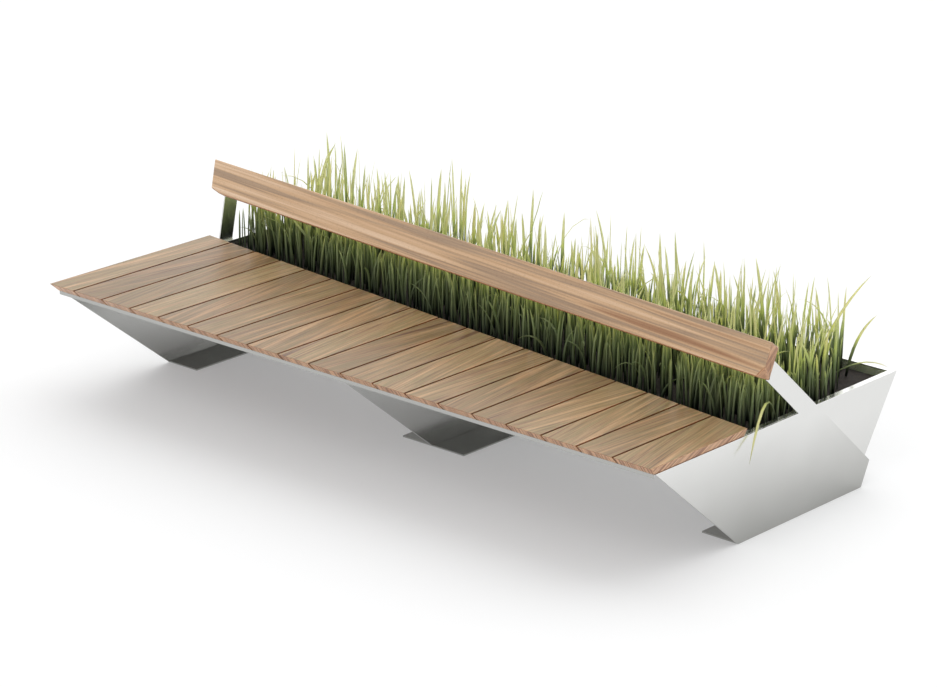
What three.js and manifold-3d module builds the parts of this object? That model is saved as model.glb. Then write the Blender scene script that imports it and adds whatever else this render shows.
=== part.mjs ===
// Park bench with a planter behind the seat: timber slats and backrest on folded stainless steel.
// Millimetres, +Z up. The origin is on the ground under the middle of the bench.
// +X runs along the seat to the right, +Y runs from the seat's front edge back to the planter.

import * as THREE from 'three';
import { mergeVertices } from 'three/addons/utils/BufferGeometryUtils.js';
import Module from 'manifold-3d';

const wasm = await Module();
wasm.setup();

// Driving dimensions: the bench as a whole
const seatHeight = 455;
const seatLength = 2992;
const seatDepthLeft = 860;
const seatDepthRight = 526;
const planterDepthLeft = 576;
const fitGap = 0.3;

// Seat slats, laid front to back and undercut along the front edge and at both ends of the seat
const slatCount = 19;
const slatGap = 7;
const firstSlatSpan = 137;
const lastSlatSpan = 169;
const slatThickness = 32;
const slatFrontUndercut = 32;
const slatEndUndercut = 14;

// Steel that carries the slats: a front rail with a lip, and two middle rails
const railThickness = 4;
const frontLipHeight = 15;
const frontLipSetback = 2;
const frontRailDepth = 80;
const middleRailSetback = 330;
const middleRailWidth = 60;
const middleRailHeight = 30;
const middleRailThickness = 3;

// Three upright plates: set in from the seat's ends at the rim, leaning inwards to the ground
const plateThickness = 6;
const plateSetback = 11;
const plateLean = 44;
const footFrontSetback = 563;
const footBackSetback = 143;
const rearCornerSetback = 111;
const rearCornerHeight = 101;

// Ground flanges and the studs that anchor them
const flangeThickness = 6;
const flangeWidth = 155;
const anchorFrontSetback = 347;
const anchorBackSetback = 93;
const studRadius = 6;
const studHeight = 30;
const nutRadius = 11;
const nutHeight = 10;
const washerRadius = 15;
const washerThickness = 2.5;

// Arms that carry the backrest
const armWidth = 71;
const leftArmSetback = 18;
const leftArmRise = 72;
const rightArmRise = 70;
const rightArmEndRise = 4;

// Backrest plank, reclined, turned a little from the seat's rear edge, its ends cut to the plates' lean
const backrestSetback = 85;
const backrestTurnIn = 16;
const backrestOverhang = 10;
const backrestBottomHeight = 608;
const backrestBackHeight = 120;
const backrestThickness = 52;
const backrestLowerBevel = 5;
const backrestUpperBevel = 17;
const backrestRecline = THREE.MathUtils.degToRad(17);

// Lower front corners sawn off the plank's ends, and what stays of the ends' lower edges
const cornerCutHeightLeft = 15;
const cornerCutLengthLeft = 82;
const cornerCutHeightRight = 42;
const cornerCutLengthRight = 30;
const cornerCutFoot = 4;
const cornerOverrunShare = 2;

// Steel angles between the plank's back and the arms, and their screws
const bracketThickness = 5;
const bracketWidth = 90;
const bracketRise = 16;
const bracketHeight = 40;
const bracketReachLow = 40;
const bracketReachHigh = 12;
const screwRadius = 4;
const screwLength = 32;
const screwHeadRadius = 8;
const screwHeadHeight = 6;

// Planter: a welded trough of sheet with sloping front, back and ends
const sheetThickness = 3;
const planterBottomHeight = 112;
const planterFrontSetback = 8;
const planterBackLean = 129;
const planterEndLean = 39;
const planterFloorDepthLeft = 69;
const ledgeWidth = 40;
const rimWidth = 25;
const drainRadius = 12;
const drainCount = 4;

// What fills the planter
const drainageDepth = 60;
const fleeceThickness = 3;
const soilBelowRim = 36;
const turfThickness = 8;

// Ornamental grass
const clumpCount = 4;
const bladePitch = 62;
const bladeWidth = 17;
const bladeThickness = 6;
const bladeShortest = 260;
const bladeTallest = 470;
const bladeSway = 20;
const bladeClearance = 30;
const bladeSeed = 41;

// Levels and lines worked out from the driving dimensions
const overallDepth = seatDepthLeft + planterDepthLeft;
const frontY = -overallDepth / 2;
const backY = overallDepth / 2;
const slatBottom = seatHeight - slatThickness;
const rimHeight = slatBottom - fitGap;
const plateOuterX = seatLength / 2 - plateSetback;
const plateSlope = plateLean / rimHeight;
const seatSlant = (seatDepthLeft - seatDepthRight) / seatLength;
const footFrontY = frontY + footFrontSetback;
const footBackY = backY - footBackSetback;
const rearCornerY = backY - rearCornerSetback;
const lipFrontY = frontY + slatFrontUndercut + frontLipSetback;
const plateFrontY = lipFrontY + railThickness;
const plateFrontSlope = (footFrontY - plateFrontY) / rimHeight;
const seatBackY = (x) => frontY + (seatDepthLeft + seatDepthRight) / 2 - seatSlant * x;
const backrestSlant = seatSlant - backrestTurnIn / seatLength;
const backrestY = seatBackY(0) + backrestSetback;

const plateX = (z) => plateOuterX - plateSlope * (rimHeight - z);
const plateInnerX = (z) => plateX(z) - plateThickness - fitGap;

const material = (color, roughness, metalness) => new THREE.MeshStandardMaterial({ color, roughness, metalness });
const timber = () => material(0xb08458, 0.55, 0);
const brushedSteel = () => material(0xc9cac8, 0.32, 1);
const zincSteel = () => material(0x9b9d9e, 0.45, 1);
const compost = () => material(0x2a221a, 0.95, 0);
const clayPebbles = () => material(0x8a5a3c, 0.95, 0);
const fleece = () => material(0xd8d8d2, 0.9, 0);
const grassGreen = () => material(0x8fa552, 0.7, 0);

// A closed solid skinned over rings of matching points, with an optional tip past the last ring.
function skin(rings, tip) {
  const count = rings[0].length;
  const points = rings.flat();
  const faces = [];
  const first = capFaces(rings[0]);
  for (const [a, b, c] of first) faces.push(c, b, a);
  for (let r = 0; r + 1 < rings.length; r++) {
    for (let i = 0; i < count; i++) {
      const near = r * count + i;
      const next = r * count + ((i + 1) % count);
      faces.push(near, next, next + count, near, next + count, near + count);
    }
  }
  const last = (rings.length - 1) * count;
  if (tip) {
    points.push(tip);
    for (let i = 0; i < count; i++) faces.push(last + i, last + ((i + 1) % count), points.length - 1);
  } else {
    for (const [a, b, c] of capFaces(rings.at(-1))) faces.push(last + a, last + b, last + c);
  }
  return facingOut(points, faces);
}

// Triangles over a flat ring, wound the way the ring runs.
function capFaces(ring) {
  const normal = new THREE.Vector3();
  ring.forEach((p, i) => normal.add(new THREE.Vector3().crossVectors(p, ring[(i + 1) % ring.length])));
  const size = normal.toArray().map(Math.abs);
  const drop = size.indexOf(Math.max(...size));
  const flat = ring.map((p) => new THREE.Vector2(...p.toArray().filter((value, axis) => axis !== drop)));
  const turn = Math.sign(THREE.ShapeUtils.area(flat));
  return THREE.ShapeUtils.triangulateShape(flat, []).map(([a, b, c]) => {
    const same = Math.sign(THREE.ShapeUtils.area([flat[a], flat[b], flat[c]])) === turn;
    return same ? [a, b, c] : [a, c, b];
  });
}

// The indexed geometry of a closed skin, turned so that its faces point out.
function facingOut(points, faces) {
  let volume = 0;
  for (let i = 0; i < faces.length; i += 3) {
    const [a, b, c] = faces.slice(i, i + 3).map((index) => points[index]);
    volume += a.dot(new THREE.Vector3().crossVectors(b, c));
  }
  const turned = volume < 0 ? faces.slice().reverse() : faces;
  const geometry = new THREE.BufferGeometry().setFromPoints(points);
  geometry.setIndex(turned);
  return geometry;
}

// A three.js geometry as a solid that can be joined and cut.
function toSolid(geometry) {
  const bare = geometry.clone();
  bare.deleteAttribute('normal');
  bare.deleteAttribute('uv');
  const merged = mergeVertices(bare);
  const vertProperties = merged.attributes.position.array;
  const triVerts = new Uint32Array(merged.index.array);
  return new wasm.Manifold(new wasm.Mesh({ numProp: 3, vertProperties, triVerts }));
}

// The solid's surface as a three.js geometry with flat faces.
function toGeometry(solid) {
  const mesh = solid.getMesh();
  const geometry = new THREE.BufferGeometry();
  geometry.setAttribute('position', new THREE.BufferAttribute(new Float32Array(mesh.vertProperties), 3));
  geometry.setIndex(new THREE.BufferAttribute(new Uint32Array(mesh.triVerts), 1));
  return geometry;
}

function join(...geometries) {
  return toGeometry(geometries.map(toSolid).reduce((all, solid) => all.add(solid)));
}

function cut(geometry, ...cutters) {
  return toGeometry(cutters.map(toSolid).reduce((rest, solid) => rest.subtract(solid), toSolid(geometry)));
}

const place = (x, y, z) => new THREE.Vector3(x, y, z);

function block(x0, x1, y0, y1, z0, z1) {
  const box = new THREE.BoxGeometry(x1 - x0, y1 - y0, z1 - z0);
  return box.translate((x0 + x1) / 2, (y0 + y1) / 2, (z0 + z1) / 2);
}

// A round or many-sided bar standing on z0, centred on x, y.
function bar(radius, x, y, z0, z1, sides) {
  const geometry = new THREE.CylinderGeometry(radius, radius, z1 - z0, sides);
  return geometry.rotateX(Math.PI / 2).translate(x, y, (z0 + z1) / 2);
}

const bench = new THREE.Group();

function addPiece(name, geometry, finish) {
  const flat = geometry.index ? geometry.toNonIndexed() : geometry;
  flat.computeVertexNormals();
  const mesh = new THREE.Mesh(flat, finish);
  mesh.name = name;
  bench.add(mesh);
}

// Seat slats
function slat(x0, x1, leftUndercut, rightUndercut) {
  const ring = (z, left, right, front) => [
    place(left, front, z),
    place(right, front, z),
    place(right, seatBackY(right), z),
    place(left, seatBackY(left), z),
  ];
  const top = ring(seatHeight, x0, x1, frontY);
  const bottom = ring(slatBottom, x0 + leftUndercut, x1 - rightUndercut, frontY + slatFrontUndercut);
  return skin([bottom, top]);
}

const seatLeftX = -seatLength / 2;
const slatPitch = (seatLength - firstSlatSpan - lastSlatSpan) / (slatCount - 2);
for (let i = 0; i < slatCount; i++) {
  const isFirst = i === 0;
  const isLast = i === slatCount - 1;
  const gapBefore = seatLeftX + firstSlatSpan + (i - 1) * slatPitch;
  const x0 = isFirst ? seatLeftX : gapBefore + slatGap / 2;
  const x1 = isLast ? -seatLeftX : gapBefore + slatPitch - slatGap / 2;
  const geometry = slat(x0, x1, isFirst ? slatEndUndercut : 0, isLast ? slatEndUndercut : 0);
  addPiece(`seat_slat_${String(i + 1).padStart(2, '0')}`, geometry, timber());
}

// Front rail: an angle between the end plates, whose lip shows under the slats and whose leg carries them
function frontRail() {
  const low = rimHeight - frontLipHeight;
  const legUnder = rimHeight - railThickness;
  const ring = (side) => {
    const at = (y, z) => place(side * plateInnerX(z), y, z);
    return [
      at(lipFrontY, low),
      at(lipFrontY, rimHeight),
      at(lipFrontY + frontRailDepth, rimHeight),
      at(lipFrontY + frontRailDepth, legUnder),
      at(lipFrontY + railThickness, legUnder),
      at(lipFrontY + railThickness, low),
    ];
  };
  return skin([ring(-1), ring(1)]);
}

addPiece('seat_front_rail', frontRail(), brushedSteel());

// Middle rails: channels between the plates, open below
function middleRail(side) {
  const y0 = frontY + middleRailSetback - middleRailWidth / 2;
  const y1 = y0 + middleRailWidth;
  const wall = middleRailThickness;
  const low = rimHeight - middleRailHeight;
  const profile = [
    [y0, low],
    [y0, rimHeight],
    [y1, rimHeight],
    [y1, low],
    [y1 - wall, low],
    [y1 - wall, rimHeight - wall],
    [y0 + wall, rimHeight - wall],
    [y0 + wall, low],
  ];
  const inner = profile.map(([y, z]) => place(side * (plateThickness / 2 + fitGap), y, z));
  const outer = profile.map(([y, z]) => place(side * plateInnerX(z), y, z));
  return skin([inner, outer]);
}

addPiece('seat_middle_rail_left', middleRail(-1), brushedSteel());
addPiece('seat_middle_rail_right', middleRail(1), brushedSteel());

// The plank's own frame: x along it, y up its back face, z out towards the sitter, from its lower back edge
const alongPlank = place(1, -backrestSlant, 0).normalize();
const backFromPlank = place(backrestSlant, 1, 0).normalize();
const upPlank = place(0, 0, Math.cos(backrestRecline)).addScaledVector(backFromPlank, Math.sin(backrestRecline));
const outOfPlank = new THREE.Vector3().crossVectors(alongPlank, upPlank);
const plankOrigin = place(0, backrestY, backrestBottomHeight);
const plankFrame = new THREE.Matrix4().makeBasis(alongPlank, upPlank, outOfPlank).setPosition(plankOrigin);
const plankStretch = Math.hypot(1, backrestSlant) / Math.cos(backrestRecline);

// Where the plank's back plane lies at x and z, moved back by a true distance.
function plankBackY(x, z, distance) {
  const rise = (z - backrestBottomHeight) * Math.sin(backrestRecline);
  return backrestY + (rise + distance) * plankStretch - backrestSlant * x;
}

// Brackets: an angle at each arm, one leg on the plank's back and one on the arm's inner face
const bracketLow = backrestBottomHeight + bracketRise;
const bracketHigh = bracketLow + bracketHeight;
const screwUp = (bracketRise + bracketHeight / 2) / Math.cos(backrestRecline);
const screwShares = [0.35, 0.8];
const screwSides = 16;
const hexagon = 6;

// A bar through a bracket and into the plank, square to the plank's back.
function backrestBar(side, share, radius, out0, out1, sides) {
  const x = side * (plateInnerX(bracketLow + bracketHeight / 2) - share * bracketWidth);
  const along = (x - screwUp * upPlank.x) / alongPlank.x;
  return bar(radius, along, screwUp, out0, out1, sides).applyMatrix4(plankFrame);
}

const screwHole = (side, share) => {
  const behind = bracketThickness + 3 * fitGap;
  return backrestBar(side, share, screwRadius + fitGap, -behind, screwLength + fitGap, screwSides);
};

// A point of the plank's end face, which leans with the plate below it.
function plankEnd(side, up, out) {
  const point = place(0, up, out).applyMatrix4(plankFrame);
  const x = side * (plateX(point.z) + backrestOverhang);
  return point.addScaledVector(alongPlank, (x - point.x) / alongPlank.x);
}

// What is sawn off a lower front corner, from the end face, the lower front edge and the end's lower edge.
function plankCorner(side, height, length) {
  const tip = plankEnd(side, backrestLowerBevel, backrestThickness);
  const onEnd = plankEnd(side, backrestLowerBevel + height, backrestThickness);
  const onEdge = tip.clone().addScaledVector(alongPlank, -side * length);
  const back = plankEnd(side, 0, 0);
  const onFoot = back.clone().lerp(tip, cornerCutFoot / back.distanceTo(tip));
  const ring = [onEnd, onEdge, onFoot];
  const middle = ring.reduce((sum, point) => sum.add(point), place(0, 0, 0)).divideScalar(ring.length);
  const past = (point) => point.clone().addScaledVector(point.clone().sub(middle), cornerOverrunShare);
  return skin([ring.map(past)], past(tip));
}

function plank() {
  const ring = (side) => [
    plankEnd(side, 0, 0),
    plankEnd(side, backrestLowerBevel, backrestThickness),
    plankEnd(side, backrestBackHeight + backrestUpperBevel, backrestThickness),
    plankEnd(side, backrestBackHeight, 0),
  ];
  const holes = [-1, 1].flatMap((side) => screwShares.map((share) => screwHole(side, share)));
  const leftCorner = plankCorner(-1, cornerCutHeightLeft, cornerCutLengthLeft);
  const rightCorner = plankCorner(1, cornerCutHeightRight, cornerCutLengthRight);
  return cut(skin([ring(-1), ring(1)]), leftCorner, rightCorner, ...holes);
}

function bracket(side, setback) {
  const leg = (width, lowDepth, highDepth) => {
    const ring = (z, depth) => {
      const corner = (back, across) => {
        const x = side * (plateInnerX(z) - across);
        return place(x, plankBackY(x, z, fitGap) + back, z);
      };
      return [corner(0, 0), corner(0, width), corner(depth, width), corner(depth, 0)];
    };
    return skin([ring(bracketLow, lowDepth), ring(bracketHigh, highDepth)]);
  };
  const thick = bracketThickness * plankStretch;
  const plankLeg = leg(bracketWidth, thick, thick);
  const armLeg = leg(bracketThickness, setback + bracketReachLow, setback + bracketReachHigh);
  return cut(join(plankLeg, armLeg), ...screwShares.map((share) => screwHole(side, share)));
}

function backrestScrew(side, share) {
  const seat = -bracketThickness - 2 * fitGap;
  const head = backrestBar(side, share, screwHeadRadius, seat - screwHeadHeight, seat, hexagon);
  const shank = backrestBar(side, share, screwRadius, seat - screwHeadHeight / 2, screwLength, screwSides);
  return join(head, shank);
}

addPiece('backrest_plank', plank(), timber());
addPiece('backrest_bracket_left', bracket(-1, leftArmSetback), brushedSteel());
addPiece('backrest_bracket_right', bracket(1, 0), brushedSteel());
for (const [side, hand] of [[-1, 'left'], [1, 'right']]) {
  addPiece(`backrest_screw_${hand}_outer`, backrestScrew(side, screwShares[0]), zincSteel());
  addPiece(`backrest_screw_${hand}_inner`, backrestScrew(side, screwShares[1]), zincSteel());
}

// An upright plate from its outline in y and z, between two faces that may lean.
function uprightPlate(outline, faceA, faceB) {
  const ring = (face) => outline.map(([y, z]) => place(face(z), y, z));
  return skin([ring(faceA), ring(faceB)]);
}

const seatCorner = [plateFrontY, rimHeight];
const footFront = [footFrontY, 0];
const footBack = [footBackY, 0];
const rearCorner = [rearCornerY, rearCornerHeight];

// Left end: above the rim the arm stands behind the plank and follows its recline
function leftPlateOutline() {
  const armFront = (z) => plankBackY(-plateX(z), z, fitGap) + leftArmSetback;
  const armTop = backrestBottomHeight + leftArmRise;
  const across = armWidth / Math.cos(backrestRecline);
  return [
    seatCorner,
    footFront,
    footBack,
    rearCorner,
    [armFront(rimHeight) + across, rimHeight],
    [armFront(armTop) + across, armTop],
    [armFront(armTop), armTop],
    [armFront(rimHeight), rimHeight],
  ];
}

// Right end: the plate's rear edge runs on upwards as the arm, which narrows and ends on the plank's back
function rightPlateOutline() {
  const meetZ = backrestBottomHeight + rightArmRise;
  const lowZ = backrestBottomHeight - rightArmEndRise;
  const endLine = (z) => plankBackY(plateX(z) - plateThickness, z, fitGap);
  const rearSlope = (endLine(meetZ) - rearCornerY) / (meetZ - rearCornerHeight);
  const rearAtRim = rearCornerY + rearSlope * (rimHeight - rearCornerHeight);
  return [
    seatCorner,
    footFront,
    footBack,
    rearCorner,
    [endLine(meetZ), meetZ],
    [endLine(lowZ), lowZ],
    [rearAtRim - armWidth * Math.hypot(1, rearSlope), rimHeight],
  ];
}

const leftOuter = (z) => -plateX(z);
const leftInner = (z) => -plateX(z) + plateThickness;
const rightOuter = (z) => plateX(z);
const rightInner = (z) => plateX(z) - plateThickness;
const leftPlate = uprightPlate(leftPlateOutline(), leftOuter, leftInner);
const rightPlate = uprightPlate(rightPlateOutline(), rightOuter, rightInner);
addPiece('end_plate_left', leftPlate, brushedSteel());
addPiece('end_plate_right', rightPlate, brushedSteel());

// Planter faces: lines of the trough at a height z, set in from its outer skin by a true thickness
const planterDepth = rimHeight - planterBottomHeight;
const backWallSlope = planterBackLean / planterDepth;
const endWallSlope = planterEndLean / planterDepth;
const planterFrontLean = planterDepthLeft + planterFrontSetback - planterBackLean - planterFloorDepthLeft;
const frontWallSlope = planterFrontLean / planterDepth;
const frontStretch = Math.hypot(1, frontWallSlope, seatSlant);
const backStretch = Math.hypot(1, backWallSlope);
const endStretch = Math.hypot(1, endWallSlope);
const planterEndX = plateOuterX - plateThickness - fitGap;

const endWallX = (z, inset) => planterEndX - endWallSlope * (rimHeight - z) - inset * endStretch;
const backWallY = (z, inset) => backY - backWallSlope * (rimHeight - z) - inset * backStretch;
function frontWallY(x, z, inset) {
  return seatBackY(x) - planterFrontSetback + frontWallSlope * (rimHeight - z) + inset * frontStretch;
}

// Front wall, with a ledge folded forwards under the rear ends of the slats
function planterFrontWall() {
  const ledgeUnder = rimHeight - sheetThickness;
  const ring = (side) => {
    const edge = (z) => side * endWallX(z, sheetThickness + fitGap);
    const at = (z, inset, forward) => place(edge(z), frontWallY(edge(z), z, inset) - forward, z);
    return [
      at(planterBottomHeight, 0, 0),
      at(ledgeUnder, 0, 0),
      at(ledgeUnder, 0, ledgeWidth),
      at(rimHeight, 0, ledgeWidth),
      at(rimHeight, sheetThickness, 0),
      at(planterBottomHeight, sheetThickness, 0),
    ];
  };
  return skin([ring(-1), ring(1)]);
}

// Back wall: a sloping sheet
function planterBackWall() {
  const ring = (side) => {
    const at = (z, inset) => place(side * endWallX(z, sheetThickness + fitGap), backWallY(z, inset), z);
    return [
      at(planterBottomHeight, 0),
      at(rimHeight, 0),
      at(rimHeight, sheetThickness),
      at(planterBottomHeight, sheetThickness),
    ];
  };
  return skin([ring(-1), ring(1)]);
}

// Back rim: a flat strip along the inside of the back wall's top edge
function planterBackRim() {
  const rimUnder = rimHeight - sheetThickness;
  const ring = (side) => {
    const edge = (z) => side * endWallX(z, sheetThickness + fitGap);
    return [
      place(edge(rimHeight), backWallY(rimHeight, sheetThickness + fitGap), rimHeight),
      place(edge(rimHeight), backY - rimWidth, rimHeight),
      place(edge(rimUnder), backY - rimWidth, rimUnder),
      place(edge(rimUnder), backWallY(rimUnder, sheetThickness + fitGap), rimUnder),
    ];
  };
  return skin([ring(-1), ring(1)]);
}

// End wall, with the rim folded inwards between the front wall and the back rim
function planterEndWall(side) {
  const rimUnder = rimHeight - sheetThickness;
  const ring = (inset) => {
    const [top, bottom] = [endWallX(rimHeight, inset), endWallX(planterBottomHeight, inset)];
    return [
      place(side * bottom, frontWallY(side * bottom, planterBottomHeight, 0), planterBottomHeight),
      place(side * bottom, backWallY(planterBottomHeight, 0), planterBottomHeight),
      place(side * top, backY, rimHeight),
      place(side * top, frontWallY(side * top, rimHeight, 0), rimHeight),
    ];
  };
  const wall = skin([ring(0), ring(sheetThickness)]);
  const outer = endWallX(rimHeight, sheetThickness / 2);
  const inner = endWallX(rimHeight, 0) - rimWidth;
  const rimRing = (z) => [
    place(side * outer, frontWallY(side * outer, z, sheetThickness + fitGap), z),
    place(side * inner, frontWallY(side * inner, z, sheetThickness + fitGap), z),
    place(side * inner, backY - rimWidth - fitGap, z),
    place(side * outer, backY - rimWidth - fitGap, z),
  ];
  return join(wall, skin([rimRing(rimUnder), rimRing(rimHeight)]));
}

// The trough's inside between two heights, kept clear of its walls.
function planterFill(low, high) {
  const inset = sheetThickness + fitGap;
  const ring = (z) => {
    const x = endWallX(z, inset);
    return [
      place(-x, frontWallY(-x, z, inset), z),
      place(x, frontWallY(x, z, inset), z),
      place(x, backWallY(z, inset), z),
      place(-x, backWallY(z, inset), z),
    ];
  };
  return skin([ring(low), ring(high)]);
}

const floorTop = planterBottomHeight + sheetThickness;
const drainSides = 16;

function planterFloor() {
  const floorSheet = planterFill(planterBottomHeight, floorTop);
  const halfLength = endWallX(floorTop, 0);
  const drains = Array.from({ length: drainCount }, (_, i) => {
    const x = ((2 * i + 1) / drainCount - 1) * halfLength;
    const y = (frontWallY(x, floorTop, 0) + backWallY(floorTop, 0)) / 2;
    return bar(drainRadius, x, y, planterBottomHeight - fitGap, floorTop + fitGap, drainSides);
  });
  return cut(floorSheet, ...drains);
}

addPiece('planter_front_wall', planterFrontWall(), brushedSteel());
addPiece('planter_back_wall', planterBackWall(), brushedSteel());
addPiece('planter_back_rim', planterBackRim(), brushedSteel());
addPiece('planter_end_wall_left', planterEndWall(-1), brushedSteel());
addPiece('planter_end_wall_right', planterEndWall(1), brushedSteel());
addPiece('planter_floor', planterFloor(), brushedSteel());

// Drainage layer, filter fleece and soil, one on the other
const drainageTop = floorTop + fitGap + drainageDepth;
const fleeceTop = drainageTop + fitGap + fleeceThickness;
const soilTop = rimHeight - soilBelowRim;
addPiece('drainage_layer', planterFill(floorTop + fitGap, drainageTop), clayPebbles());
addPiece('filter_fleece', planterFill(drainageTop + fitGap, fleeceTop), fleece());
addPiece('planting_soil', planterFill(fleeceTop + fitGap, soilTop), compost());

// Centre plate: it carries the front rail on its top edge and the trough in its notch
function centrePlateOutline() {
  const top = rimHeight - railThickness - fitGap;
  const bottom = flangeThickness + fitGap;
  const under = planterBottomHeight - fitGap;
  const clear = fitGap * frontStretch + (seatSlant * plateThickness) / 2;
  const edge = (z) => plateFrontY + fitGap + plateFrontSlope * (rimHeight - z);
  return [
    [edge(top), top],
    [edge(bottom), bottom],
    [footBackY, bottom],
    [backWallY(planterBottomHeight, 0), under],
    [frontWallY(0, planterBottomHeight, 0) - clear, under],
    [frontWallY(0, top, 0) - clear, top],
  ];
}

const centreLeft = () => -plateThickness / 2;
const centreRight = () => plateThickness / 2;
addPiece('centre_plate', uprightPlate(centrePlateOutline(), centreLeft, centreRight), brushedSteel());

// Ground flanges, drilled for the anchor studs
const anchorPlaces = [footFrontY + anchorFrontSetback, footBackY - anchorBackSetback];
const studSides = 16;
const endFlangeOuterX = plateX(0) - plateThickness - fitGap;
const footPlaces = {
  left: { x0: -endFlangeOuterX, x1: -endFlangeOuterX + flangeWidth, studX: -endFlangeOuterX + flangeWidth / 2 },
  centre: { x0: -flangeWidth, x1: flangeWidth, studX: flangeWidth / 2 },
  right: { x0: endFlangeOuterX - flangeWidth, x1: endFlangeOuterX, studX: endFlangeOuterX - flangeWidth / 2 },
};

for (const [name, foot] of Object.entries(footPlaces)) {
  const sheet = block(foot.x0, foot.x1, footFrontY, footBackY, 0, flangeThickness);
  const holes = anchorPlaces.map((y) => {
    return bar(studRadius + fitGap, foot.studX, y, -fitGap, flangeThickness + fitGap, studSides);
  });
  addPiece(`ground_flange_${name}`, cut(sheet, ...holes), brushedSteel());
  anchorPlaces.forEach((y, i) => {
    const washerBase = flangeThickness + fitGap;
    const nutBase = washerBase + washerThickness;
    const stud = bar(studRadius, foot.studX, y, 0, studHeight, studSides);
    const washer = bar(washerRadius, foot.studX, y, washerBase, nutBase, studSides);
    const nut = bar(nutRadius, foot.studX, y, nutBase - fitGap, nutBase + nutHeight, hexagon);
    addPiece(`anchor_stud_${name}_${i === 0 ? 'front' : 'back'}`, join(stud, washer, nut), zincSteel());
  });
}

// Repeatable random numbers from 0 to 1.
function randomSource(seed) {
  let state = seed;
  return () => {
    state = (state * 16807) % 2147483647;
    return state / 2147483647;
  };
}

// One blade: three-sided, bowed to one side, narrowing to its tip.
function blade(random, x, y, base, height) {
  const facing = random() * Math.PI;
  const leaning = random() * 2 * Math.PI;
  const sway = bladeSway * random();
  const flat = place(Math.cos(facing), Math.sin(facing), 0);
  const thick = place(-flat.y, flat.x, 0);
  const ring = (z, drift, share) => {
    const centre = place(x + Math.cos(leaning) * drift, y + Math.sin(leaning) * drift, z);
    return [
      centre.clone().addScaledVector(flat, (bladeWidth / 2) * share),
      centre.clone().addScaledVector(flat, (-bladeWidth / 2) * share),
      centre.clone().addScaledVector(thick, bladeThickness * share),
    ];
  };
  const bendShare = 0.5;
  const bendWidthShare = 0.8;
  const rootRing = ring(base, 0, 1);
  const bendRing = ring(base + height * bendShare, (sway * bendShare) / 2, bendWidthShare);
  const tip = place(x + Math.cos(leaning) * sway, y + Math.sin(leaning) * sway, base + height);
  return skin([rootRing, bendRing], tip);
}

// One clump: a slice of turf with the blades that grow from it, cropped where the plank hangs over them.
function grassClump(x0, x1, random) {
  const low = soilTop + fitGap;
  const high = low + turfThickness;
  const inset = sheetThickness + fitGap;
  const turfFront = (x) => frontWallY(x, low, inset);
  const turfBack = backWallY(low, inset);
  const turfRing = (z) => [
    place(x0, turfFront(x0), z),
    place(x1, turfFront(x1), z),
    place(x1, turfBack, z),
    place(x0, turfBack, z),
  ];
  const plankTop = backrestBottomHeight + backrestBackHeight;
  const clearOfPlank = bracketThickness + screwHeadHeight + bladeWidth + bladeSway;
  const margin = rimWidth + bladeSway;
  const left = Math.max(x0, margin - grassHalf);
  const right = Math.min(x1, grassHalf - margin);
  const columns = Math.floor((right - left) / bladePitch);
  const base = low + turfThickness / 2;
  const pieces = [skin([turfRing(low), turfRing(high)])];
  for (let column = 0; column < columns; column++) {
    const x = left + ((column + 1 / 2) * (right - left)) / columns;
    const front = turfFront(x) + bladeWidth;
    const depth = turfBack - margin - front;
    const rows = Math.floor(depth / bladePitch);
    for (let row = 0; row < rows; row++) {
      const y = front + ((row + 1 / 2) * depth) / rows;
      const jitterX = (random() - 1 / 2) * bladeSway;
      const jitterY = (random() - 1 / 2) * bladeSway;
      const share = random() ** 2;
      const freeTop = rimHeight + bladeShortest + (bladeTallest - bladeShortest) * share;
      const croppedTop = backrestBottomHeight - bladeClearance * (1 + share);
      const isBehindPlank = y > plankBackY(x, plankTop, clearOfPlank);
      const top = isBehindPlank ? freeTop : croppedTop;
      pieces.push(blade(random, x + jitterX, y + jitterY, base, top - base));
    }
  }
  return join(...pieces);
}

const random = randomSource(bladeSeed);
const grassHalf = endWallX(soilTop, sheetThickness + fitGap);
const clumpSpan = (2 * grassHalf) / clumpCount;
for (let i = 0; i < clumpCount; i++) {
  const x0 = -grassHalf + i * clumpSpan + fitGap / 2;
  const x1 = -grassHalf + (i + 1) * clumpSpan - fitGap / 2;
  addPiece(`grass_clump_${i + 1}`, grassClump(x0, x1, random), grassGreen());
}

export default bench;
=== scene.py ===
"""A park bench with a planter: oiled timber, brushed stainless steel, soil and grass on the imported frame."""

import bmesh
import bpy
import math
import numpy as np
from mathutils import Matrix, Vector


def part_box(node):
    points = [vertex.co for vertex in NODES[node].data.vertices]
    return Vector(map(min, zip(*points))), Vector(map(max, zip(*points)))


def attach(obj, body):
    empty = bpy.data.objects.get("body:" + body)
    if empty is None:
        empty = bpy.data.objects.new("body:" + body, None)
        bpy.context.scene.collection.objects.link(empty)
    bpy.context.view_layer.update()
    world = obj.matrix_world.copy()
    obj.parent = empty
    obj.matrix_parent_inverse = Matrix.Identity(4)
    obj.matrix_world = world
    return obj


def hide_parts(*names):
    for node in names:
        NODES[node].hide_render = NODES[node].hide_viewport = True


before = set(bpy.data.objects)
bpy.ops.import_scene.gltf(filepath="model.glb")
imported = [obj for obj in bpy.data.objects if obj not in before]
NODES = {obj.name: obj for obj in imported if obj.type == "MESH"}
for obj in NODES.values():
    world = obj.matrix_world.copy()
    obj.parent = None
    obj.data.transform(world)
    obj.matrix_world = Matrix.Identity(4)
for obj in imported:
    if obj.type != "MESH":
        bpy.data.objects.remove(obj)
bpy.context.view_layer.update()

bl_info = {
    "name": "Bench with planter",
    "version": (1, 0, 0),
    "blender": (4, 5, 0),
    "location": "3D View > Sidebar > Bench",
    "description": "Dresses the packed bench in timber, steel, soil and grass",
    "category": "Object",
}

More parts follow.
